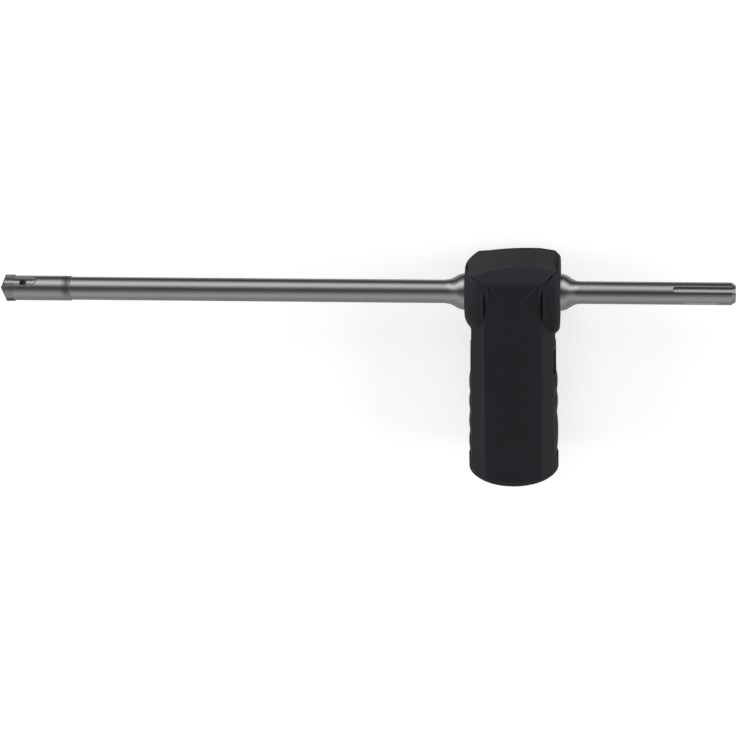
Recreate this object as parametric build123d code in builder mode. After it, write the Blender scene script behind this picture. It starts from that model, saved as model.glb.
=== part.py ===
from build123d import *
import os
from math import cos, radians, sin, sqrt, tan

# Hollow masonry drill bit with a swivelling suction head.
# Frame: +X along the drill towards the end of the shank, the handle hangs along -Y, and +Z is the
# front of the suction head. The origin is on the drill's axis, halfway along the plain shank.
# Angles round the drill are in degrees from +Z towards +Y. All lengths are in millimetres.

# Drill: lengths along the axis, from the tip to the end of the shank
carbide_length = 6.7
head_length = 26.3
tube_visible_length = 169.5
front_flare_length = 8.6
hub_length = 42.0
rear_flare_length = 8.8
plain_shank_length = 40.3
slotted_shank_length = 27.4

# Drill: radii
carbide_radius = 6.0
head_radius = 5.6
tube_radius = 5.2
tube_bore_radius = 3.8
journal_radius = 8.15
collar_radius = 9.2
shank_radius = 5.0

# Carbide tip: four roof-shaped cutting wings round a pointed crown
crown_height = 2.6
roof_slope_angle = 22.0
wing_angle = 15.0
wing_gullet_radius = 2.7
wing_gullet_centre = 6.5

# Drill head: two suction ports at the bottom of two flutes
flute_angle = 60.0
flute_radius = 2.5
flute_centre = 6.1
flute_length = 8.5
port_radius = 1.6
port_setback = 4.2
head_bore_radius = 2.6
head_bore_start = 1.6
spigot_length = 9.0
seam_setback = 1.4
seam_width = 0.9
seam_depth = 0.25
head_rear_chamfer = 0.35

# Drive shank: the socket for the tube, the dust ports and the four slots of the shank
flare_lip = 0.12
tube_insert_length = 12.0
dust_port_radius = 2.8
waist_radius = 7.0
waist_length = 7.0
bore_past_port = 4.5
shank_end_chamfer = 1.2
shank_end_chamfer_length = 1.8
keyway_angle = 45.0
keyway_width = 2.4
keyway_depth = 1.7
ball_groove_radius = 2.4
ball_groove_depth = 1.3
ball_groove_length = 18.0
ball_groove_end_gap = 5.8

# Clearances, and how far a cut starts outside what it cuts
running_clearance = 0.06
washer_clearance = 0.24
seat_clearance = 0.05
overcut = 1.0

# Bearing stack of the suction head, from each face of the hub inwards
hub_bore_radius = 10.6
ring_setback = 1.4
ring_thickness = 1.2
ring_groove_depth = 0.7
ring_width = 1.7
ring_gap = 7.0
lug_radius = 1.3
lug_spread = 26.0
lug_hole_radius = 0.6
seal_thickness = 3.2
seal_lip_thickness = 1.0
seal_lip_backing = 0.5
bush_length = 8.0
bush_relief = 0.5
washer_thickness = 1.0
end_float = 0.2

# Suction housing: hub barrel, handle and round foot
barrel_radius = 18.0
barrel_front_radius = 11.6
barrel_front_length = 8.0
barrel_rear_radius = 15.0
barrel_rear_length = 3.0
handle_length = 87.6
handle_front_half_width = 12.8
handle_front_depth = 15.9
handle_crown_depth = 18.0
handle_side_half_width = 17.7
handle_side_depth = 9.2
handle_half_width = 18.5
handle_corner_radius = 1.6
handle_draft_angle = 0.75
neck_radius = 4.0
foot_radius = 20.5
foot_height = 7.0
foot_edge_chamfer = 0.8

# Dust duct and hose socket, coaxial with the handle
duct_throat_radius = 6.0
duct_throat_end = 16.0
duct_radius = 13.0
duct_flare_end = 46.0
socket_radius = 16.1
socket_depth = 26.0
socket_seal_height = 1.4
socket_seal_lip = 2.9

# Saddle cover: roof over the hub, with a leg down the front and the back of the handle
cover_wall = 1.5
cover_gap = 0.1
roof_height = 17.0
roof_half_depth = 10.2
roof_arch_radius = 80.0
roof_peak = 7.3
roof_tail_start = 12.0
roof_tail_drop = 2.6
brow_fold_height = 15.0
brow_fold_depth = 12.0
brow_height = 13.3
brow_depth = 14.9
brow_foot_height = 5.0
cover_depth = 19.0
cover_crown_radius = 36.0
nose_turn_angle = 14.8
nose_reach = 20.6
nose_half_depth = 3.0
tail_turn_angle = 18.0
tail_reach = 20.3
tail_half_depth = 8.0
leg_front_reach = 12.4
leg_rear_reach = 13.8
leg_bevel_width = 2.1
leg_end_gap = 2.2
hood_front_reach = 20.4
hood_rear_reach = 20.1
hood_front_edge = 11.6
hood_rear_edge = 13.9
hood_bend_inset = 3.4
hood_bend_drop = 0.2
hood_front_corner = 8.8
hood_rear_corner = 10.4
hood_corner_radius = 1.5
crease_depth = 0.8
crease_height = 1.5
crease_top = 10.6
crease_foot = -3.0
crease_half_gap = 2.8
cheek_length = 20.0

# Grip pads in the two sides of the handle
pad_start = 24.6
pad_end_gap = 2.1
pad_inner = 16.6
pad_half_depth = 8.5
pad_bow_radius = 24.0
pad_peak = 19.4
pad_notch = 18.85
pocket_length = 14.4
pocket_rim = 1.2
pocket_floor = 17.4
pocket_back = 3.0
tip_side_bumps = [1, 1, 1, 1]
shank_side_bumps = [1, 1, 2]

# Places along the drill's axis
x_flare_end = -plain_shank_length / 2
x_hub_rear = x_flare_end - rear_flare_length
x_hub_mid = x_hub_rear - hub_length / 2
x_hub_front = x_hub_rear - hub_length
x_flare_start = x_hub_front - front_flare_length
x_head_rear = x_flare_start - tube_visible_length
x_carbide_rear = x_head_rear - head_length
x_tip = x_carbide_rear - carbide_length
x_shank_end = plain_shank_length / 2 + slotted_shank_length
x_tube_end = x_flare_start + tube_insert_length
x_port = x_carbide_rear + port_setback

# Places down the handle
foot_start = handle_length - foot_height
pad_length = foot_start - pad_end_gap - pad_start

# Places of the bearing stack, from the face of the hub inwards
seal_setback = ring_setback + ring_thickness
bush_setback = seal_setback + seal_thickness
washer_setback = bush_setback + bush_length
collar_setback = washer_setback + washer_thickness + end_float
collar_half_length = hub_length / 2 - collar_setback

# Growth of the handle and of its pads for each millimetre down
handle_draft = tan(radians(handle_draft_angle))


def around(angle, radius):
    """Y and Z of a point at an angle round the drill's axis."""
    return radius * sin(radians(angle)), radius * cos(radians(angle))


def radial_plane(x, angle, radius):
    """Plane that faces away from the drill's axis, with its own X along the drill."""
    y, z = around(angle, radius)
    return Plane(origin=(x, y, z), x_dir=(1, 0, 0), z_dir=(0, *around(angle, 1)))


def handle_plane(depth):
    """Plane across the handle, facing down it, at a depth under the drill's axis."""
    return Plane(origin=(x_hub_mid, -depth, 0), x_dir=(1, 0, 0), z_dir=(0, -1, 0))


def mill_ball_groove(angle, centre, radius, x_from, x_to):
    """Mill a groove with round ends along the drill into the part being built."""
    y, z = around(angle, centre)
    with BuildSketch(Plane.YZ.offset(x_from)) as groove:
        with Locations((y, z)):
            Circle(radius)
    extrude(groove.sketch, amount=x_to - x_from, mode=Mode.SUBTRACT)
    with Locations((x_from, y, z), (x_to, y, z)):
        Sphere(radius, mode=Mode.SUBTRACT)


os.makedirs("parts", exist_ok=True)


# Carbide tip
with BuildPart() as carbide_tip:
    with BuildSketch(Plane.YZ.offset(x_tip)):
        Circle(carbide_radius)
        with PolarLocations(wing_gullet_centre, 4, start_angle=90 - wing_angle - 45):
            Circle(wing_gullet_radius, mode=Mode.SUBTRACT)
    extrude(amount=carbide_length)
    edge_reach = 1.5 * carbide_radius
    for wing in range(4):
        y, z = around(wing_angle + 90 * wing, 1)
        ridge_plane = Plane(origin=(x_tip, 0, 0), x_dir=(0, z, -y), z_dir=(0, y, z))
        roof_fall = edge_reach * sin(radians(roof_slope_angle))
        crown_fall = edge_reach * crown_height / carbide_radius
        with BuildSketch(ridge_plane):
            with BuildLine():
                side = ridge_plane.y_dir.X
                Polyline(
                    (-edge_reach, side * roof_fall),
                    (0, 0),
                    (edge_reach, side * roof_fall),
                    (edge_reach, -side * crown_fall),
                    (-edge_reach, -side * crown_fall),
                    close=True,
                )
            make_face()
        extrude(amount=edge_reach, dir=(crown_height / carbide_radius, y, z), mode=Mode.SUBTRACT)
carbide_tip.part.label = "carbide_tip"
export_step(carbide_tip.part, "parts/carbide_tip.step")


# Drill head
with BuildPart() as drill_head:
    with BuildSketch():
        with BuildLine():
            seam_front = x_head_rear - seam_setback - seam_width
            Polyline(
                (x_carbide_rear, 0),
                (x_carbide_rear, head_radius),
                (seam_front, head_radius),
                (seam_front + seam_width / 2, head_radius - seam_depth),
                (seam_front + seam_width, head_radius),
                (x_head_rear - head_rear_chamfer, head_radius),
                (x_head_rear, head_radius - head_rear_chamfer),
                (x_head_rear, tube_bore_radius - seat_clearance),
                (x_head_rear + spigot_length, tube_bore_radius - seat_clearance),
                (x_head_rear + spigot_length, head_bore_radius),
                (x_carbide_rear + head_bore_start, head_bore_radius),
                (x_carbide_rear + head_bore_start, 0),
                close=True,
            )
        make_face()
    revolve(axis=Axis.X)
    for turn in (0, 180):
        x_run_out = x_carbide_rear + flute_length
        x_front = x_carbide_rear - flute_radius
        mill_ball_groove(flute_angle + turn, flute_centre, flute_radius, x_front, x_run_out)
        with Locations(radial_plane(x_port, flute_angle + turn, head_radius)):
            Hole(port_radius, depth=head_radius)
drill_head.part.label = "drill_head"
export_step(drill_head.part, "parts/drill_head.step")


# Suction tube
with BuildPart() as suction_tube:
    with BuildSketch(Plane.YZ.offset(x_head_rear)):
        Circle(tube_radius)
        Circle(tube_bore_radius, mode=Mode.SUBTRACT)
    extrude(amount=x_tube_end - x_head_rear)
suction_tube.part.label = "suction_tube"
export_step(suction_tube.part, "parts/suction_tube.step")


# Drive shank
with BuildPart() as drive_shank:
    with BuildSketch():
        with BuildLine():
            socket_wall = tube_radius + seat_clearance
            bore_end = x_hub_mid + dust_port_radius + bore_past_port
            Line((x_flare_start, socket_wall), (x_flare_start, socket_wall + flare_lip))
            Spline(
                (x_flare_start, socket_wall + flare_lip),
                (x_hub_front, journal_radius),
                tangents=[(1, 0), (1, 0)],
            )
            Polyline(
                (x_hub_front, journal_radius),
                (x_hub_mid - collar_half_length, journal_radius),
                (x_hub_mid - collar_half_length, collar_radius),
                (x_hub_mid - waist_length / 2, collar_radius),
                (x_hub_mid - waist_length / 2, waist_radius),
                (x_hub_mid + waist_length / 2, waist_radius),
                (x_hub_mid + waist_length / 2, collar_radius),
                (x_hub_mid + collar_half_length, collar_radius),
                (x_hub_mid + collar_half_length, journal_radius),
                (x_hub_rear, journal_radius),
            )
            Spline(
                (x_hub_rear, journal_radius),
                (x_flare_end, shank_radius),
                tangents=[(1, 0), (1, 0)],
            )
            Polyline(
                (x_flare_end, shank_radius),
                (x_shank_end - shank_end_chamfer_length, shank_radius),
                (x_shank_end, shank_radius - shank_end_chamfer),
                (x_shank_end, 0),
                (bore_end + tube_bore_radius, 0),
                (bore_end, tube_bore_radius),
                (x_tube_end + seat_clearance, tube_bore_radius),
                (x_tube_end + seat_clearance, socket_wall),
                (x_flare_start, socket_wall),
            )
        make_face()
    revolve(axis=Axis.X)
    with Locations(Plane(origin=(x_hub_mid, 0, 0), z_dir=(0, 1, 0))):
        Hole(dust_port_radius)
    x_groove_end = x_shank_end - ball_groove_end_gap - ball_groove_radius
    x_groove_start = x_shank_end - ball_groove_end_gap - ball_groove_length + ball_groove_radius
    ball_centre = shank_radius - ball_groove_depth + ball_groove_radius
    for turn in (0, 180):
        with BuildSketch(radial_plane(x_shank_end, keyway_angle + turn, shank_radius)):
            SlotOverall(2 * slotted_shank_length, keyway_width)
        extrude(amount=-keyway_depth, mode=Mode.SUBTRACT)
        groove_angle = keyway_angle + 90 + turn
        mill_ball_groove(groove_angle, ball_centre, ball_groove_radius, x_groove_start, x_groove_end)
drive_shank.part.label = "drive_shank"
export_step(drive_shank.part, "parts/drive_shank.step")


def crown_point(angle, inset):
    """Point of the cover's crowned front at the height of the roof, across and deep."""
    radius = cover_crown_radius - inset
    centre_depth = cover_depth - roof_height * handle_draft - cover_crown_radius
    return radius * sin(radians(angle)), centre_depth + radius * cos(radians(angle))


def cover_blank(inset):
    """Solid under the cover's surfaces, all of them moved inwards by one distance."""
    half_length = hub_length / 2 + inset
    lowest = handle_length + foot_height
    with BuildPart() as blank:
        with BuildSketch(Plane.YZ.offset(x_hub_mid - half_length)):
            with BuildLine():
                Polyline(
                    (-lowest, 0),
                    (-lowest, cover_depth + lowest * handle_draft),
                    (0, cover_depth),
                    (brow_foot_height, cover_depth),
                )
                TangentArc(
                    (brow_foot_height, cover_depth),
                    (brow_height, brow_depth),
                    tangent=(1, 0),
                )
                Polyline(
                    (brow_height, brow_depth),
                    (brow_fold_height, brow_fold_depth),
                    (roof_height, roof_half_depth),
                    (roof_height, 0),
                )
                mirror(about=Plane.XZ)
            make_face()
            if inset:
                offset(amount=-inset, kind=Kind.INTERSECTION)
        extrude(amount=2 * half_length)
        nose_turn = crown_point(-nose_turn_angle, inset)
        tail_turn = crown_point(tail_turn_angle, inset)
        nose_end = (inset - nose_reach, nose_half_depth)
        tail_end = (tail_reach - inset, tail_half_depth)
        with BuildSketch(handle_plane(-roof_height)):
            with BuildLine():
                Line((nose_end[0], 0), nose_end)
                TangentArc(
                    nose_turn,
                    nose_end,
                    tangent=(-cos(radians(nose_turn_angle)), -sin(radians(nose_turn_angle))),
                )
                ThreePointArc(nose_turn, crown_point(0, inset), tail_turn)
                TangentArc(
                    tail_turn,
                    tail_end,
                    tangent=(cos(radians(tail_turn_angle)), -sin(radians(tail_turn_angle))),
                )
                Line(tail_end, (tail_end[0], 0))
                mirror(about=Plane.XZ)
            make_face()
        extrude(amount=roof_height + lowest, taper=-handle_draft_angle, mode=Mode.INTERSECT)
        top = roof_height - inset
        arch_radius = roof_arch_radius - inset
        nose_drop = arch_radius - sqrt(arch_radius**2 - (half_length + roof_peak) ** 2)
        tail_arch_drop = arch_radius - sqrt(arch_radius**2 - (roof_tail_start - roof_peak) ** 2)
        with BuildSketch(Plane(origin=(x_hub_mid, 0, -cover_depth - foot_height))):
            with BuildLine():
                ThreePointArc(
                    (-half_length, top - nose_drop),
                    (roof_peak, top),
                    (roof_tail_start, top - tail_arch_drop),
                )
                Polyline(
                    (roof_tail_start, top - tail_arch_drop),
                    (half_length, top - roof_tail_drop),
                    (half_length, -lowest),
                    (-half_length, -lowest),
                    (-half_length, top - nose_drop),
                )
            make_face()
        extrude(amount=2 * (cover_depth + foot_height), mode=Mode.INTERSECT)
    return blank.part


def cover_outline(gap):
    """Front outline of the cover, a T of the hood over one leg, grown by a gap."""
    leg_bottom = leg_end_gap - handle_length
    top = barrel_radius + overcut
    with BuildSketch(Plane(origin=(x_hub_mid, 0, -cover_depth - foot_height))) as outline:
        with BuildLine():
            Polyline(
                (-hood_front_reach, top),
                (-hood_front_reach, hood_front_edge),
                (hood_bend_inset - hood_front_reach, hood_front_edge - hood_bend_drop),
                (-leg_front_reach, hood_front_corner),
                (-leg_front_reach, leg_bottom),
                (leg_rear_reach, leg_bottom),
                (leg_rear_reach, hood_rear_corner),
                (hood_rear_reach - hood_bend_inset, hood_rear_edge - hood_bend_drop),
                (hood_rear_reach, hood_rear_edge),
                (hood_rear_reach, top),
                close=True,
            )
        make_face()
        corners = outline.vertices().filter_by_position(Axis.Y, hood_front_corner, hood_rear_corner)
        fillet(corners, hood_corner_radius)
        if gap:
            offset(amount=gap, kind=Kind.INTERSECTION)
    return outline.sketch


def panel_depth(x):
    """Depth of the crowned front of the cover at a place along the drill."""
    return cover_depth - cover_crown_radius + sqrt(cover_crown_radius**2 - (x - x_hub_mid) ** 2)


def cheek_room(across, reach):
    """Room before one cheek of the cover's front, which falls away under a slanting crease."""
    x_inner = x_hub_mid + (leg_rear_reach - leg_front_reach) / 2 + across * crease_half_gap
    x_corner = x_hub_mid + across * (reach - leg_bevel_width)
    inner = Vector(x_inner, crease_height, panel_depth(x_inner))
    corner = Vector(x_corner, crease_top, panel_depth(x_corner) - crease_depth)
    foot = Vector(x_corner, crease_foot, panel_depth(x_corner))
    with BuildPart() as room:
        with BuildSketch(Plane.XY):
            with BuildLine():
                Polyline(
                    (x_inner, crease_height),
                    (x_corner, crease_top),
                    (x_corner, crease_height - cheek_length),
                    (x_inner, crease_height - cheek_length),
                    close=True,
                )
            make_face()
        extrude(amount=cover_depth + overcut)
        facing = (foot - inner).cross(corner - inner) * across
        split(bisect_by=Plane(origin=inner, z_dir=facing), keep=Keep.TOP)
    return room.part


# Saddle cover
with BuildPart() as saddle_cover:
    extrude(cover_outline(0), amount=2 * (cover_depth + foot_height))
    add(cover_blank(0), mode=Mode.INTERSECT)
    add(cover_blank(cover_wall), mode=Mode.SUBTRACT)
    for across, reach in ((-1, leg_front_reach), (1, leg_rear_reach)):
        add(cheek_room(across, reach), mode=Mode.SUBTRACT)
saddle_cover.part.label = "saddle_cover"
export_step(saddle_cover.part, "parts/saddle_cover.step")


# Room that the cover takes out of the housing
with BuildPart() as cover_seat:
    extrude(cover_outline(cover_gap), amount=2 * (cover_depth + foot_height))
    add(cover_blank(cover_wall + cover_gap), mode=Mode.SUBTRACT)


def handle_outline(depth):
    """Section of the handle: broad front and back, four flat corners and two bowed sides."""
    growth = depth * handle_draft
    front = handle_front_half_width
    front_depth = handle_front_depth + growth
    side = handle_side_half_width + growth
    bow = handle_half_width + growth
    with BuildSketch(handle_plane(depth)) as outline:
        with BuildLine():
            for facing in (1, -1):
                Line((-side, facing * handle_side_depth), (-front, facing * front_depth))
                ThreePointArc(
                    (-front, facing * front_depth),
                    (0, facing * (handle_crown_depth + growth)),
                    (front, facing * front_depth),
                )
                Line((front, facing * front_depth), (side, facing * handle_side_depth))
            for across in (1, -1):
                ThreePointArc(
                    (across * side, handle_side_depth),
                    (across * bow, 0),
                    (across * side, -handle_side_depth),
                )
        make_face()
        fillet(outline.vertices(), handle_corner_radius)
    return outline.sketch


def pad_side_plane(across):
    """Front plane through the top of a pad, turned to the draft of the handle's side."""
    return Plane(
        origin=(x_hub_mid + across * pad_start * handle_draft, -pad_start, 0),
        x_dir=(1, across * handle_draft, 0),
        z_dir=(0, 0, 1),
    )


def pad_room(across, gap):
    """Block that a pad fills in the side of the handle, grown by a gap."""
    outer = pad_peak + overcut
    with BuildPart() as room:
        with BuildSketch(pad_side_plane(across).offset(-pad_half_depth - gap)):
            with Locations((across * (outer + pad_inner - gap) / 2, -pad_length / 2)):
                Rectangle(outer - pad_inner + gap, pad_length + 2 * gap)
        extrude(amount=2 * (pad_half_depth + gap))
    return room.part


# Housing body
with BuildPart() as housing_body:
    with BuildSketch():
        with BuildLine():
            x_front_round = x_hub_front + barrel_front_length
            x_rear_round = x_hub_rear - barrel_rear_length
            TangentArc(
                (x_front_round, barrel_radius),
                (x_hub_front, barrel_front_radius),
                tangent=(-1, 0),
            )
            Polyline(
                (x_hub_front, barrel_front_radius),
                (x_hub_front, 0),
                (x_hub_rear, 0),
                (x_hub_rear, barrel_rear_radius),
            )
            TangentArc(
                (x_rear_round, barrel_radius),
                (x_hub_rear, barrel_rear_radius),
                tangent=(1, 0),
            )
            Line((x_rear_round, barrel_radius), (x_front_round, barrel_radius))
        make_face()
    revolve(axis=Axis.X)
    loft([handle_outline(0), handle_outline(foot_start)])
    meeting_edges = housing_body.edges(Select.NEW)
    neck_edges = meeting_edges.filter_by(lambda edge: edge.center().Y < -barrel_radius / 2)
    fillet(neck_edges, neck_radius)
    with BuildSketch(handle_plane(foot_start)):
        Circle(foot_radius)
    extrude(amount=foot_height)
    foot_edges = housing_body.edges().filter_by(GeomType.CIRCLE).group_by(Axis.Y)[0]
    chamfer(foot_edges, foot_edge_chamfer)
    add(cover_seat.part, mode=Mode.SUBTRACT)
    for across in (-1, 1):
        add(pad_room(across, seat_clearance), mode=Mode.SUBTRACT)
    with BuildSketch(Plane.YZ.offset(x_hub_front)):
        Circle(hub_bore_radius)
    extrude(amount=hub_length, mode=Mode.SUBTRACT)
    for x_groove in (x_hub_front + ring_setback, x_hub_rear - ring_setback - ring_thickness):
        with BuildSketch(Plane.YZ.offset(x_groove)):
            Circle(hub_bore_radius + ring_groove_depth)
        extrude(amount=ring_thickness, mode=Mode.SUBTRACT)
    with BuildSketch(Plane(origin=(x_hub_mid, 0, 0))):
        with BuildLine():
            Polyline(
                (0, 0),
                (duct_throat_radius, 0),
                (duct_throat_radius, -duct_throat_end),
                (duct_radius, -duct_flare_end),
                (duct_radius, socket_depth - handle_length),
                (socket_radius, socket_depth - handle_length),
                (socket_radius, socket_seal_height - handle_length),
                (socket_radius + socket_seal_lip, socket_seal_height - handle_length),
                (socket_radius + socket_seal_lip, -handle_length),
                (0, -handle_length),
                close=True,
            )
        make_face()
    revolve(axis=Axis((x_hub_mid, 0, 0), (0, 1, 0)), mode=Mode.SUBTRACT)
housing_body.part.label = "housing_body"
export_step(housing_body.part, "parts/housing_body.step")


# Rubber lip round the mouth of the hose socket
with BuildPart() as socket_seal:
    with BuildSketch(handle_plane(handle_length - socket_seal_height + seat_clearance)):
        Circle(socket_radius + socket_seal_lip - seat_clearance)
        Circle(socket_radius, mode=Mode.SUBTRACT)
    extrude(amount=socket_seal_height - seat_clearance)
socket_seal.part.label = "socket_seal"
export_step(socket_seal.part, "parts/socket_seal.step")


def grip_pad(across, bumps):
    """Soft pad in one side of the handle: an open pocket over a row of rounded ribs."""
    bump_length = (pad_length - pocket_length) / sum(bumps)
    side_plane = pad_side_plane(across)
    with BuildPart() as pad:
        with BuildSketch(side_plane):
            with BuildLine():
                Polyline(
                    (across * pad_notch, -pocket_length),
                    (across * pad_notch, 0),
                    (across * pad_inner / 2, 0),
                    (across * pad_inner / 2, -pad_length),
                    (across * pad_notch, -pad_length),
                )
                start = pocket_length
                for size in bumps:
                    end = start + size * bump_length
                    ThreePointArc(
                        (across * pad_notch, -start),
                        (across * pad_peak, -(start + end) / 2),
                        (across * pad_notch, -end),
                    )
                    start = end
            make_face()
        bow_centre = side_plane.from_local_coords((across * (pad_peak - pad_bow_radius), 0, 0))
        revolve(axis=Axis(bow_centre, side_plane.y_dir))
        for facing in (-1, 1):
            with BuildSketch(side_plane.offset(facing * pocket_back)):
                with Locations((across * (pocket_floor + pad_peak) / 2, -pocket_length / 2)):
                    Rectangle(pad_peak - pocket_floor, pocket_length - 2 * pocket_rim)
            extrude(amount=facing * pad_half_depth, mode=Mode.SUBTRACT)
        add(pad_room(across, 0), mode=Mode.INTERSECT)
    return pad.part


# Grip pads
tip_side_pad = grip_pad(-1, tip_side_bumps)
tip_side_pad.label = "tip_side_pad"
export_step(tip_side_pad, "parts/tip_side_pad.step")

shank_side_pad = grip_pad(1, shank_side_bumps)
shank_side_pad.label = "shank_side_pad"
export_step(shank_side_pad, "parts/shank_side_pad.step")


# Bearing stack at both ends of the hub
for place, x_face, inwards in (("front", x_hub_front, 1), ("rear", x_hub_rear, -1)):
    with BuildPart() as retaining_ring:
        with BuildSketch(Plane.YZ.offset(x_face + inwards * (ring_setback + seat_clearance))):
            ring_outer = hub_bore_radius + ring_groove_depth - seat_clearance
            ring_middle = ring_outer - ring_width / 2
            Circle(ring_outer)
            Circle(ring_outer - ring_width, mode=Mode.SUBTRACT)
            with Locations((-ring_middle, 0)):
                Rectangle(2 * ring_width, ring_gap, mode=Mode.SUBTRACT)
            for lug_angle in (180 - lug_spread, 180 + lug_spread):
                with PolarLocations(ring_outer - ring_width, 1, start_angle=lug_angle):
                    Circle(lug_radius)
                    Circle(lug_hole_radius, mode=Mode.SUBTRACT)
        extrude(amount=inwards * (ring_thickness - 2 * seat_clearance))
    retaining_ring.part.label = f"{place}_retaining_ring"
    export_step(retaining_ring.part, f"parts/{place}_retaining_ring.step")

    with BuildPart() as lip_seal:
        x_seal = x_face + inwards * seal_setback
        with BuildSketch():
            with BuildLine():
                lip_inner = journal_radius + running_clearance
                seal_outer = hub_bore_radius - seat_clearance
                Polyline(
                    (x_seal, lip_inner),
                    (x_seal, seal_outer),
                    (x_seal + inwards * seal_thickness, seal_outer),
                    (x_seal + inwards * seal_thickness, seal_outer - seal_lip_thickness),
                    (x_seal + inwards * seal_lip_thickness, seal_outer - seal_lip_thickness),
                    (x_seal + inwards * seal_lip_thickness, lip_inner + seal_lip_backing),
                    (x_seal + inwards * seal_thickness / 2, lip_inner),
                    close=True,
                )
            make_face()
        revolve(axis=Axis.X)
    lip_seal.part.label = f"{place}_lip_seal"
    export_step(lip_seal.part, f"parts/{place}_lip_seal.step")

    with BuildPart() as bush:
        with BuildSketch(Plane.YZ.offset(x_face + inwards * bush_setback)):
            Circle(hub_bore_radius - seat_clearance)
            Circle(journal_radius + running_clearance, mode=Mode.SUBTRACT)
        extrude(amount=inwards * bush_length)
        outer_edges = bush.edges().filter_by(GeomType.CIRCLE).group_by(SortBy.RADIUS)[-1]
        chamfer(outer_edges, bush_relief)
    bush.part.label = f"{place}_bush"
    export_step(bush.part, f"parts/{place}_bush.step")

    with BuildPart() as thrust_washer:
        with BuildSketch(Plane.YZ.offset(x_face + inwards * washer_setback)):
            Circle(hub_bore_radius - seat_clearance)
            Circle(journal_radius + washer_clearance, mode=Mode.SUBTRACT)
        extrude(amount=inwards * washer_thickness)
    thrust_washer.part.label = f"{place}_thrust_washer"
    export_step(thrust_washer.part, f"parts/{place}_thrust_washer.step")
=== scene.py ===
"""Looks of a hollow masonry drill bit with a swivelling suction head.

The drill lies along X with its tip towards -X, the handle of the suction head points along -Y, and
+Z is the front of the head. All lengths are in metres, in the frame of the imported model.
"""

import logging
import math
from dataclasses import dataclass
from enum import Enum
from typing import Any

import bmesh
import bpy
from mathutils import Matrix, Vector

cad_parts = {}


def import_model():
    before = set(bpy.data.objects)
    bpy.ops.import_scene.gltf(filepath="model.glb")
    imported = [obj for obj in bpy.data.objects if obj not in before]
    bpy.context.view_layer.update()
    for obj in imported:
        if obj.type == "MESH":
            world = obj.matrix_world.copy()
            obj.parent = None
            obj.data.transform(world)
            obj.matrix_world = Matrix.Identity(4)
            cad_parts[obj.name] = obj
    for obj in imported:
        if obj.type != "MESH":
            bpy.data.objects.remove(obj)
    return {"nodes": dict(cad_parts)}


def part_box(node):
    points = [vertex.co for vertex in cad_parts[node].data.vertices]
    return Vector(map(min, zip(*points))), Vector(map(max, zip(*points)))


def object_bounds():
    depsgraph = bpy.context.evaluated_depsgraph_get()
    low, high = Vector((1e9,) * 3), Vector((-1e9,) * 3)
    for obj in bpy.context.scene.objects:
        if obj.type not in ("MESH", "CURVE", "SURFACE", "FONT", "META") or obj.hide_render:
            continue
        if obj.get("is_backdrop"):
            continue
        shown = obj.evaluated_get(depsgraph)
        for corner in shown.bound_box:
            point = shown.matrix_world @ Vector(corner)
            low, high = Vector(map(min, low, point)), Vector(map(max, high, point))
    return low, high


LOG = logging.getLogger("drill_bit")

MM = 0.001
MERGE_DISTANCE = 0.002 * MM
SHARP_ANGLE = math.radians(28.0)
PHOTO_SIDE_PX = 736
WHITE = (1.0, 1.0, 1.0, 1.0)

# Point of the model that lies at the middle of the photograph
PHOTO_MIDDLE = Vector((-115.8, -38.4, 0.0)) * MM

# Sockets of a Mix node that mixes colours
MIX_SHARE = 0
MIX_FIRST = 6
MIX_SECOND = 7
MIX_RESULT = 2


class Axis(Enum):
    """Axis of the frame, with the number of its coordinate."""

    X = 0
    Y = 1
    Z = 2


class Value:
    """An output socket of a shader node, with Python's arithmetic on it."""

    def __init__(self, graph: "ShaderGraph", socket: bpy.types.NodeSocket) -> None:
        """Keep the socket and the graph that it belongs to.

        Args:
            graph: Graph that new Math nodes are added to.
            socket: Output socket that this value stands for.
        """
        self.graph = graph
        self.socket = socket

    def _math(self, operation: str, *values: Any) -> "Value":
        """Add a Math node.

        Args:
            operation: Name of the node's operation.
            *values: Values or numbers for its inputs.

        Returns:
            The node's result.
        """
        return self.graph.node("ShaderNodeMath", {"operation": operation}, dict(enumerate(values)))

    def __add__(self, other: Any) -> "Value":
        """Sum of two values."""
        return self._math("ADD", self, other)

    __radd__ = __add__

    def __sub__(self, other: Any) -> "Value":
        """Difference of two values."""
        return self._math("SUBTRACT", self, other)

    def __rsub__(self, other: Any) -> "Value":
        """Difference, with this value taken from a number."""
        return self._math("SUBTRACT", other, self)

    def __mul__(self, other: Any) -> "Value":
        """Product of two values."""
        return self._math("MULTIPLY", self, other)

    __rmul__ = __mul__

    def __abs__(self) -> "Value":
        """Size of the value without its sign."""
        return self._math("ABSOLUTE", self)

    def at_most(self, limit: float) -> "Value":
        """The value, or the limit where the value is larger."""
        return self._math("MINIMUM", self, limit)

    def clamped(self) -> "Value":
        """The value kept between 0 and 1."""
        return self.graph.node("ShaderNodeClamp", {}, {"Value": self})

    def smooth_step(self, low: float, high: float) -> "Value":
        """Rise smoothly from 0 to 1.

        Args:
            low: Value at which the result is 0.
            high: Value at which the result is 1.

        Returns:
            The smooth mask.
        """
        settings = {"interpolation_type": "SMOOTHSTEP"}
        inputs = {"Value": self, "From Min": low, "From Max": high}
        return self.graph.node("ShaderNodeMapRange", settings, inputs)

    def band(self, centre: float, half_width: float) -> "Value":
        """A soft bump of height 1 about a value.

        Args:
            centre: Value at the middle of the bump.
            half_width: Distance from the middle at which it has faded out.

        Returns:
            The mask.
        """
        return 1.0 - abs(self - centre).smooth_step(0.0, half_width)


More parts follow.
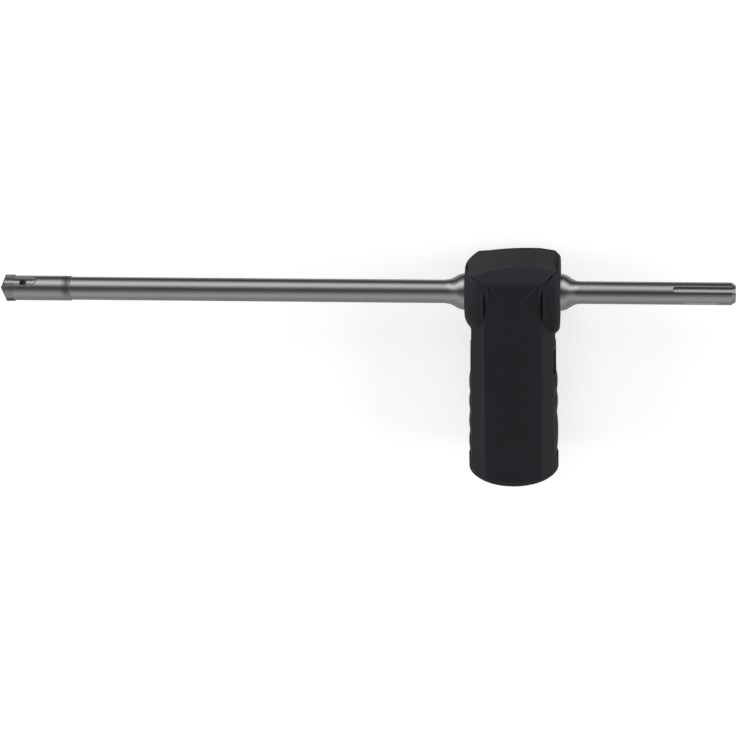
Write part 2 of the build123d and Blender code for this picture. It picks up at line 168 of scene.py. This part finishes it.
class ShaderGraph:
    """Node tree of a material or a world, filled by calls.

    The edge samples are the rays that find a rounded edge. The edge turn is 1 minus the cosine of the
    angle between the flat and the rounded surface at which the mask of the edges is full.
    """

    edge_samples = 8
    edge_turn = 0.06

    def __init__(self, owner: bpy.types.ID) -> None:
        """Empty the owner's node tree.

        Args:
            owner: Material or world.
        """
        owner.use_nodes = True
        self.tree = owner.node_tree
        self.tree.nodes.clear()

    def node(
        self,
        kind: str,
        settings: dict[str, Any] | None = None,
        inputs: dict[Any, Any] | None = None,
        output: int | str = 0,
    ) -> Value:
        """Add a node.

        Args:
            kind: Type of the node, such as ShaderNodeTexNoise.
            settings: Properties of the node, which are set first.
            inputs: Values or links by the input's name or number.
            output: Name or number of the output to return.

        Returns:
            The output, as a value.
        """
        made = self.tree.nodes.new(kind)
        for name, setting in (settings or {}).items():
            setattr(made, name, setting)
        for name, given in (inputs or {}).items():
            socket = made.inputs[name]
            if isinstance(given, Value):
                self.tree.links.new(given.socket, socket)
            else:
                socket.default_value = given
        return Value(self, made.outputs[output])

    def place(self) -> Value:
        """Object coordinates of the point that is shaded."""
        return self.node("ShaderNodeTexCoord", output="Object")

    def along(self, axis: Axis) -> Value:
        """One of the object coordinates, in metres."""
        return self.node("ShaderNodeSeparateXYZ", {}, {0: self.place()}, axis.value)

    def noise(self, scale: tuple[float, float, float], detail: float = 2.0) -> Value:
        """Noise that is stretched along the axes.

        Args:
            scale: Cycles per metre along X, Y and Z.
            detail: Octaves of finer noise.

        Returns:
            Noise about 0.5.
        """
        mapped = self.node("ShaderNodeMapping", {}, {"Vector": self.place(), "Scale": scale})
        inputs = {"Vector": mapped, "Scale": 1.0, "Detail": detail}
        return self.node("ShaderNodeTexNoise", {}, inputs)

    def grey(self, level: Any) -> Value:
        """A grey colour from a level."""
        return self.node("ShaderNodeCombineColor", {}, {0: level, 1: level, 2: level})

    def mix(self, mask: Any, first: Any, second: Any) -> Value:
        """Mix two colours.

        Args:
            mask: Share of the second colour.
            first: Colour where the mask is 0.
            second: Colour where the mask is 1.

        Returns:
            The mixed colour.
        """
        inputs = {MIX_SHARE: mask, MIX_FIRST: first, MIX_SECOND: second}
        return self.node("ShaderNodeMix", {"data_type": "RGBA"}, inputs, MIX_RESULT)

    def rounded(self, radius: float) -> Value:
        """Normal of the surface with its edges rounded to a radius."""
        return self.node("ShaderNodeBevel", {"samples": self.edge_samples}, {"Radius": radius})

    def edges(self, radius: float) -> Value:
        """Mask of the edges.

        Args:
            radius: Distance from an edge at which the mask has faded out.

        Returns:
            1 on an edge, 0 away from it.
        """
        normals = {0: self.rounded(radius), 1: self.node("ShaderNodeNewGeometry", output="Normal")}
        likeness = self.node("ShaderNodeVectorMath", {"operation": "DOT_PRODUCT"}, normals, "Value")
        return (1.0 - likeness).smooth_step(0.0, self.edge_turn)

    def bump(self, height: Value, distance: float, edge_radius: float) -> Value:
        """Bump from a height, on edges that are shaded round.

        Args:
            height: Height from 0 to 1.
            distance: Height in metres that a value of 1 stands for.
            edge_radius: Radius of the edges, as moulding or tumbling leaves them.

        Returns:
            The normal.
        """
        inputs = {"Height": height, "Distance": distance, "Normal": self.rounded(edge_radius)}
        return self.node("ShaderNodeBump", {}, inputs)

    def principled(self, inputs: dict[str, Any]) -> None:
        """Finish a material with a Principled shader.

        Args:
            inputs: Values or links by the input's name.
        """
        shader = self.node("ShaderNodeBsdfPrincipled", {}, inputs)
        self.node_output("ShaderNodeOutputMaterial", shader)

    def node_output(self, kind: str, shader: Value) -> None:
        """Link a shader to the material's or the world's output."""
        out = self.tree.nodes.new(kind)
        self.tree.links.new(shader.socket, out.inputs["Surface"])


@dataclass(frozen=True)
class Stain:
    """Dark heat stain round the drill, blotched, on the side towards +Y.

    The stain fades out half its width from its middle in X, and from full to none between the two
    values of Y.
    """

    middle_x: float
    half_width: float = 3.4 * MM
    full_y: float = 1.0 * MM
    faded_y: float = -4.0 * MM
    blotch_cycles: float = 240.0
    blotch_low: float = 0.2
    blotch_high: float = 0.55
    darkening: float = 0.6
    roughening: float = 0.1

    def mask(self, graph: ShaderGraph) -> Value:
        """Where the stain is.

        Args:
            graph: Node tree of the material.

        Returns:
            1 where it is darkest, 0 where there is none.
        """
        blotch = graph.noise((self.blotch_cycles,) * 3, detail=3.0)
        ring = graph.along(Axis.X).band(self.middle_x, self.half_width)
        lit_side = graph.along(Axis.Y).smooth_step(self.faded_y, self.full_y)
        return ring * lit_side * blotch.smooth_step(self.blotch_low, self.blotch_high)


@dataclass(frozen=True)
class MetalFinish:
    """Bare metal, drawn, turned or ground, with fine lines and slight differences of tone.

    The grain and the cloud are in cycles per metre. The tones and the gloss are shares of the colour
    and of the roughness: a base, what the lines add and what the cloud adds.
    """

    name: str
    colour: tuple[float, float, float] = (0.55, 0.55, 0.55)
    roughness: float = 0.27
    grain: tuple[float, float, float] = (300.0, 9000.0, 9000.0)
    grain_depth: float = 0.5e-6
    cloud_cycles: float = 60.0
    tones: tuple[float, float, float] = (0.9, 0.12, 0.1)
    gloss: tuple[float, float, float] = (0.8, 0.25, 0.2)
    edge_radius: float = 0.15 * MM
    stain: Stain | None = None

    def material(self) -> bpy.types.Material:
        """Make the material."""
        made = bpy.data.materials.new(self.name)
        graph = ShaderGraph(made)
        lines = graph.noise(self.grain, detail=3.0)
        cloud = graph.noise((self.cloud_cycles,) * 3)
        share = self.tones[0] + self.tones[1] * lines + self.tones[2] * cloud
        rough = self.roughness * (self.gloss[0] + self.gloss[1] * lines + self.gloss[2] * cloud)
        if self.stain is not None:
            stained = self.stain.mask(graph)
            share = share * (1.0 - self.stain.darkening * stained)
            rough = rough + self.stain.roughening * stained
        red, green, blue = (share * part for part in self.colour)
        graph.principled(
            {
                "Base Color": graph.node("ShaderNodeCombineColor", {}, {0: red, 1: green, 2: blue}),
                "Metallic": 1.0,
                "Roughness": rough,
                "Normal": graph.bump(lines, self.grain_depth, self.edge_radius),
            }
        )
        return made


@dataclass(frozen=True)
class MouldedFinish:
    """Black moulded plastic or rubber with a fine spark texture, and a highlight painted lighter
    along its edges.

    The cloud is in cycles per metre, and the tones are the shares of the colour in its dark and its
    light patches. The gloss is shares of the roughness: a base, what the texture adds and what the
    cloud adds. The painted highlight's gain is how much lighter an edge is painted, and its reach is
    how far from an edge it fades out.
    """

    name: str
    colour: tuple[float, float, float]
    roughness: float = 0.5
    specular: float = 0.2
    texture_depth: float = 5e-6
    texture_pitch: float = 0.35 * MM
    cloud_cycles: float = 45.0
    tones: tuple[float, float] = (0.85, 1.15)
    gloss: tuple[float, float, float] = (0.85, 0.2, 0.1)
    edge_radius: float = 0.3 * MM
    # Reach and gain of the highlight painted lighter into the colour along the edges.
    painted_highlight_reach: float = 1.1 * MM
    painted_highlight_gain: float = 2.0

    def _shade(self, gain: float) -> tuple[float, float, float, float]:
        """The colour, made lighter or darker by a factor."""
        red, green, blue = (gain * part for part in self.colour)
        return (red, green, blue, 1.0)

    def material(self) -> bpy.types.Material:
        """Make the material."""
        made = bpy.data.materials.new(self.name)
        graph = ShaderGraph(made)
        spark = graph.noise((1.0 / self.texture_pitch,) * 3, detail=1.0)
        cloud = graph.noise((self.cloud_cycles,) * 3, detail=3.0)
        patches = graph.mix(cloud, self._shade(self.tones[0]), self._shade(self.tones[1]))
        # Painted highlight: the colour is mixed towards a lighter shade on every edge, convex and
        # concave.
        colour = graph.mix(graph.edges(self.painted_highlight_reach), patches, self._shade(self.painted_highlight_gain))
        rough = self.roughness * (self.gloss[0] + self.gloss[1] * spark + self.gloss[2] * cloud)
        graph.principled(
            {
                "Base Color": colour,
                "Roughness": rough,
                "Specular IOR Level": self.specular,
                "Normal": graph.bump(spark, self.texture_depth, self.edge_radius),
            }
        )
        return made


def shade_smoothly(piece: bpy.types.Object) -> None:
    """Shade a piece smooth, with its sharp edges kept and its flat faces flat.

    Args:
        piece: The piece's object.
    """
    for polygon in piece.data.polygons:
        polygon.use_smooth = True
    split = piece.modifiers.new("sharp_edges", "EDGE_SPLIT")
    split.split_angle = SHARP_ANGLE
    normals = piece.modifiers.new("flat_shading", "WEIGHTED_NORMAL")
    normals.keep_sharp = True


def dress_node(node: bpy.types.Object, material: bpy.types.Material) -> None:
    """Give a node of the frame its material and smooth shading.

    Args:
        node: The node's object.
        material: Its finish.
    """
    node.data.materials.clear()
    node.data.materials.append(material)
    weld = node.modifiers.new("weld", "WELD")
    weld.merge_threshold = MERGE_DISTANCE
    shade_smoothly(node)
    LOG.info("dressed %s", node.name)


@dataclass
class PhotoCamera:
    """Camera at the photograph's viewing angle, in front of the head and above its roof.

    The focal length is in pixels of the photograph, and the sensor width is Blender's own, in mm.
    """

    look_at: Vector
    distance: float = 1000.0 * MM
    focal_px: float = 2204.0
    tilt: float = math.radians(26.2)
    yaw: float = math.radians(5.9)
    roll: float = math.radians(2.2)
    sensor_width: float = 36.0

    def build(self) -> bpy.types.Object:
        """Make the camera and set it as the scene's.

        Returns:
            The camera's object.
        """
        data = bpy.data.cameras.new("photo_camera")
        data.sensor_width = self.sensor_width
        data.lens = self.focal_px * self.sensor_width / PHOTO_SIDE_PX
        camera = bpy.data.objects.new("photo_camera", data)
        bpy.context.scene.collection.objects.link(camera)
        back = Vector(
            (
                math.sin(self.yaw),
                math.cos(self.yaw) * math.sin(self.tilt),
                math.cos(self.yaw) * math.cos(self.tilt),
            )
        )
        right = Vector((0.0, 1.0, 0.0)).cross(back).normalized()
        up = back.cross(right)
        turn = Matrix((right, up, back)).transposed() @ Matrix.Rotation(-self.roll, 3, "Z")
        camera.matrix_world = Matrix.Translation(self.look_at + self.distance * back) @ turn.to_4x4()
        bpy.context.scene.camera = camera
        return camera


@dataclass
class SoftBox:
    """Large area lamp that faces the object, left out of what glossy surfaces mirror.

    The direction points from the object to the lamp, and the power is in watts.
    """

    name: str
    aim: Vector
    direction: Vector
    distance: float
    width: float
    height: float
    power: float

    def build(self) -> bpy.types.Object:
        """Make the lamp.

        Returns:
            The lamp's object.
        """
        data = bpy.data.lights.new(self.name, "AREA")
        data.shape = "RECTANGLE"
        data.size = self.width
        data.size_y = self.height
        data.energy = self.power
        lamp = bpy.data.objects.new(self.name, data)
        bpy.context.scene.collection.objects.link(lamp)
        away = self.direction.normalized()
        lamp.location = self.aim + self.distance * away
        lamp.rotation_euler = away.to_track_quat("Z", "X").to_euler()
        lamp.visible_glossy = False
        return lamp


@dataclass(frozen=True)
class RoomPanel:
    """Soft bright band of the room that runs along the drill, as glossy surfaces mirror it.

    The angle is that of the panel's middle round the drill, in degrees from straight up towards +Y.
    The end gain is how much brighter it grows, for each unit of X of the direction, to both ends.
    """

    angle: float
    half_width: float
    level: float
    end_gain: float = 0.0


@dataclass
class Studio:
    """White surroundings, soft lamps, and the graded room that glossy surfaces mirror.

    The floor glow is what the floor gives off towards the camera, beside what the lamps light on it.
    The reach limit is the largest X of the direction that a panel's end gain counts.
    """

    floor_height: float
    aim: Vector
    floor_half_side: float = 4.0
    floor_grey: float = 0.6
    floor_glow: float = 0.6
    fill_level: float = 0.3
    room_level: float = 0.06
    reach_limit: float = 0.35
    far_strip: RoomPanel = RoomPanel(angle=77.0, half_width=44.0, level=0.68, end_gain=1.9)
    near_window: RoomPanel = RoomPanel(angle=-36.0, half_width=60.0, level=0.42)
    near_floor: RoomPanel = RoomPanel(angle=-110.0, half_width=75.0, level=0.27)
    rear_window: RoomPanel = RoomPanel(angle=172.0, half_width=30.0, level=0.55)
    end_box_direction: tuple[float, float, float] = (0.97, 0.1, 0.22)
    end_box_distance: float = 1.6
    end_box_side: float = 1.4
    end_box_power: float = 26.0
    back_box_direction: tuple[float, float, float] = (-0.1, 0.99, 0.05)
    back_box_distance: float = 1.5
    back_box_width: float = 2.2
    back_box_height: float = 0.6
    back_box_power: float = 22.0

    def build(self) -> None:
        """Make the floor, the world and the lamps."""
        self._floor()
        self._world()
        for box in self._lamps():
            box.build()

    def _floor(self) -> None:
        """Plain pale floor, nearly white to the camera, left out of what glossy surfaces mirror."""
        shape = bmesh.new()
        bmesh.ops.create_grid(shape, x_segments=1, y_segments=1, size=self.floor_half_side)
        bmesh.ops.translate(shape, verts=shape.verts, vec=(0.0, 0.0, self.floor_height))
        mesh = bpy.data.meshes.new("floor")
        shape.to_mesh(mesh)
        shape.free()
        floor = bpy.data.objects.new("floor", mesh)
        bpy.context.scene.collection.objects.link(floor)
        material = bpy.data.materials.new("floor")
        graph = ShaderGraph(material)
        seen = graph.node("ShaderNodeLightPath", output="Is Camera Ray")
        grey = (self.floor_grey,) * 3 + (1.0,)
        pale = graph.node("ShaderNodeBsdfDiffuse", {}, {"Color": grey})
        glow = graph.node("ShaderNodeEmission", {}, {"Strength": seen * self.floor_glow})
        both = graph.node("ShaderNodeAddShader", {}, {0: pale, 1: glow})
        graph.node_output("ShaderNodeOutputMaterial", both)
        mesh.materials.append(material)
        floor.visible_glossy = False
        floor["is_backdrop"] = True

    def _mirrored_room(self, graph: ShaderGraph) -> Value:
        """Brightness of the room in the direction that a glossy surface looks.

        Args:
            graph: Node tree of the world.

        Returns:
            The level.
        """
        direction = graph.node("ShaderNodeTexCoord", output="Generated")
        x, y, z = (
            graph.node("ShaderNodeSeparateXYZ", {}, {0: direction}, axis.value) for axis in Axis
        )
        turn = graph.node("ShaderNodeMath", {"operation": "ARCTAN2"}, {0: y, 1: z})
        reach = abs(x).at_most(self.reach_limit)
        level: Any = self.room_level
        for panel in (self.far_strip, self.near_window, self.near_floor, self.rear_window):
            soft = turn.band(math.radians(panel.angle), math.radians(panel.half_width))
            gain = panel.level * (1.0 + panel.end_gain * reach)
            level = level + soft * gain
        return level

    def _world(self) -> None:
        """White to the camera and through glass, the graded room in reflections, an even fill."""
        world = bpy.data.worlds.new("studio")
        bpy.context.scene.world = world
        graph = ShaderGraph(world)
        mirrored = graph.node("ShaderNodeLightPath", output="Is Glossy Ray")
        seen = graph.node("ShaderNodeLightPath", output="Is Camera Ray")
        through = graph.node("ShaderNodeLightPath", output="Is Transmission Ray")
        fill = (self.fill_level,) * 3 + (1.0,)
        colour = graph.mix(mirrored, fill, graph.grey(self._mirrored_room(graph)))
        colour = graph.mix((seen + through).clamped(), colour, WHITE)
        background = graph.node("ShaderNodeBackground", {}, {"Color": colour})
        graph.node_output("ShaderNodeOutputWorld", background)

    def _lamps(self) -> list[SoftBox]:
        """The soft boxes past both ends of the drill and over the hub's roof."""
        along, over, front = self.end_box_direction
        boxes = [
            SoftBox(
                name=name,
                aim=self.aim,
                direction=Vector((towards * along, over, front)),
                distance=self.end_box_distance,
                width=self.end_box_side,
                height=self.end_box_side,
                power=self.end_box_power,
            )
            for name, towards in (("tip_box", -1), ("shank_box", 1))
        ]
        boxes.append(
            SoftBox(
                name="back_box",
                aim=self.aim,
                direction=Vector(self.back_box_direction),
                distance=self.back_box_distance,
                width=self.back_box_width,
                height=self.back_box_height,
                power=self.back_box_power,
            )
        )
        return boxes


@dataclass
class Drill:
    """The turning part: carbide cutter, drilling head, suction tube and drive shank.

    The stain setback is from the end of the tube to the middle of the stain, towards the tip.
    """

    nodes: dict[str, bpy.types.Object]
    stain_setback: float = 1.6 * MM
    cutter_grain: float = 2500.0

    def dress(self) -> None:
        """Give each steel piece its finish."""
        stain = Stain(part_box("suction_tube")[0].x - self.stain_setback)
        ground = (self.cutter_grain,) * 3
        finishes = {
            "carbide_tip": MetalFinish("carbide", (0.48, 0.48, 0.49), 0.33, ground),
            "drill_head": MetalFinish("head_steel", roughness=0.28, stain=stain),
            "suction_tube": MetalFinish("tube_steel"),
            "drive_shank": MetalFinish("shank_steel", roughness=0.25),
        }
        for name, finish in finishes.items():
            dress_node(self.nodes[name], finish.material())


@dataclass
class SuctionHead:
    """The swivelling head: moulded housing and cover, grip pads, seals and bearings."""

    nodes: dict[str, bpy.types.Object]
    housing: MouldedFinish = MouldedFinish("housing_plastic", (0.0175, 0.0171, 0.0206))
    cover: MouldedFinish = MouldedFinish("cover_plastic", (0.0140, 0.0136, 0.0172), 0.42)
    grip: MouldedFinish = MouldedFinish("grip_rubber", (0.0075, 0.0075, 0.0085), 0.36, 0.5)
    seal: MouldedFinish = MouldedFinish("seal_rubber", (0.009, 0.009, 0.009), 0.65)
    spring: MetalFinish = MetalFinish("spring_steel", (0.28, 0.28, 0.29), 0.4)
    bronze: MetalFinish = MetalFinish("bush_bronze", (0.60, 0.44, 0.24), 0.38)

    def dress(self) -> None:
        """Give each piece of the head its finish."""
        dress_node(self.nodes["housing_body"], self.housing.material())
        dress_node(self.nodes["saddle_cover"], self.cover.material())
        grip = self.grip.material()
        for side in ("tip_side", "shank_side"):
            dress_node(self.nodes[f"{side}_pad"], grip)
        seal = self.seal.material()
        dress_node(self.nodes["socket_seal"], seal)
        spring = self.spring.material()
        bronze = self.bronze.material()
        for end in ("front", "rear"):
            dress_node(self.nodes[f"{end}_retaining_ring"], spring)
            dress_node(self.nodes[f"{end}_lip_seal"], seal)
            dress_node(self.nodes[f"{end}_bush"], bronze)
            dress_node(self.nodes[f"{end}_thrust_washer"], spring)


def main() -> None:
    """Build the looks round the frame."""
    logging.basicConfig(level=logging.INFO, format="%(name)s: %(message)s")
    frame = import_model()
    cad_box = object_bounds()
    bpy.context.scene.view_settings.view_transform = "Standard"
    PhotoCamera(PHOTO_MIDDLE).build()
    Studio(cad_box[0].z, PHOTO_MIDDLE).build()
    Drill(frame["nodes"]).dress()
    SuctionHead(frame["nodes"]).dress()


if __name__ == "__main__":
    main()
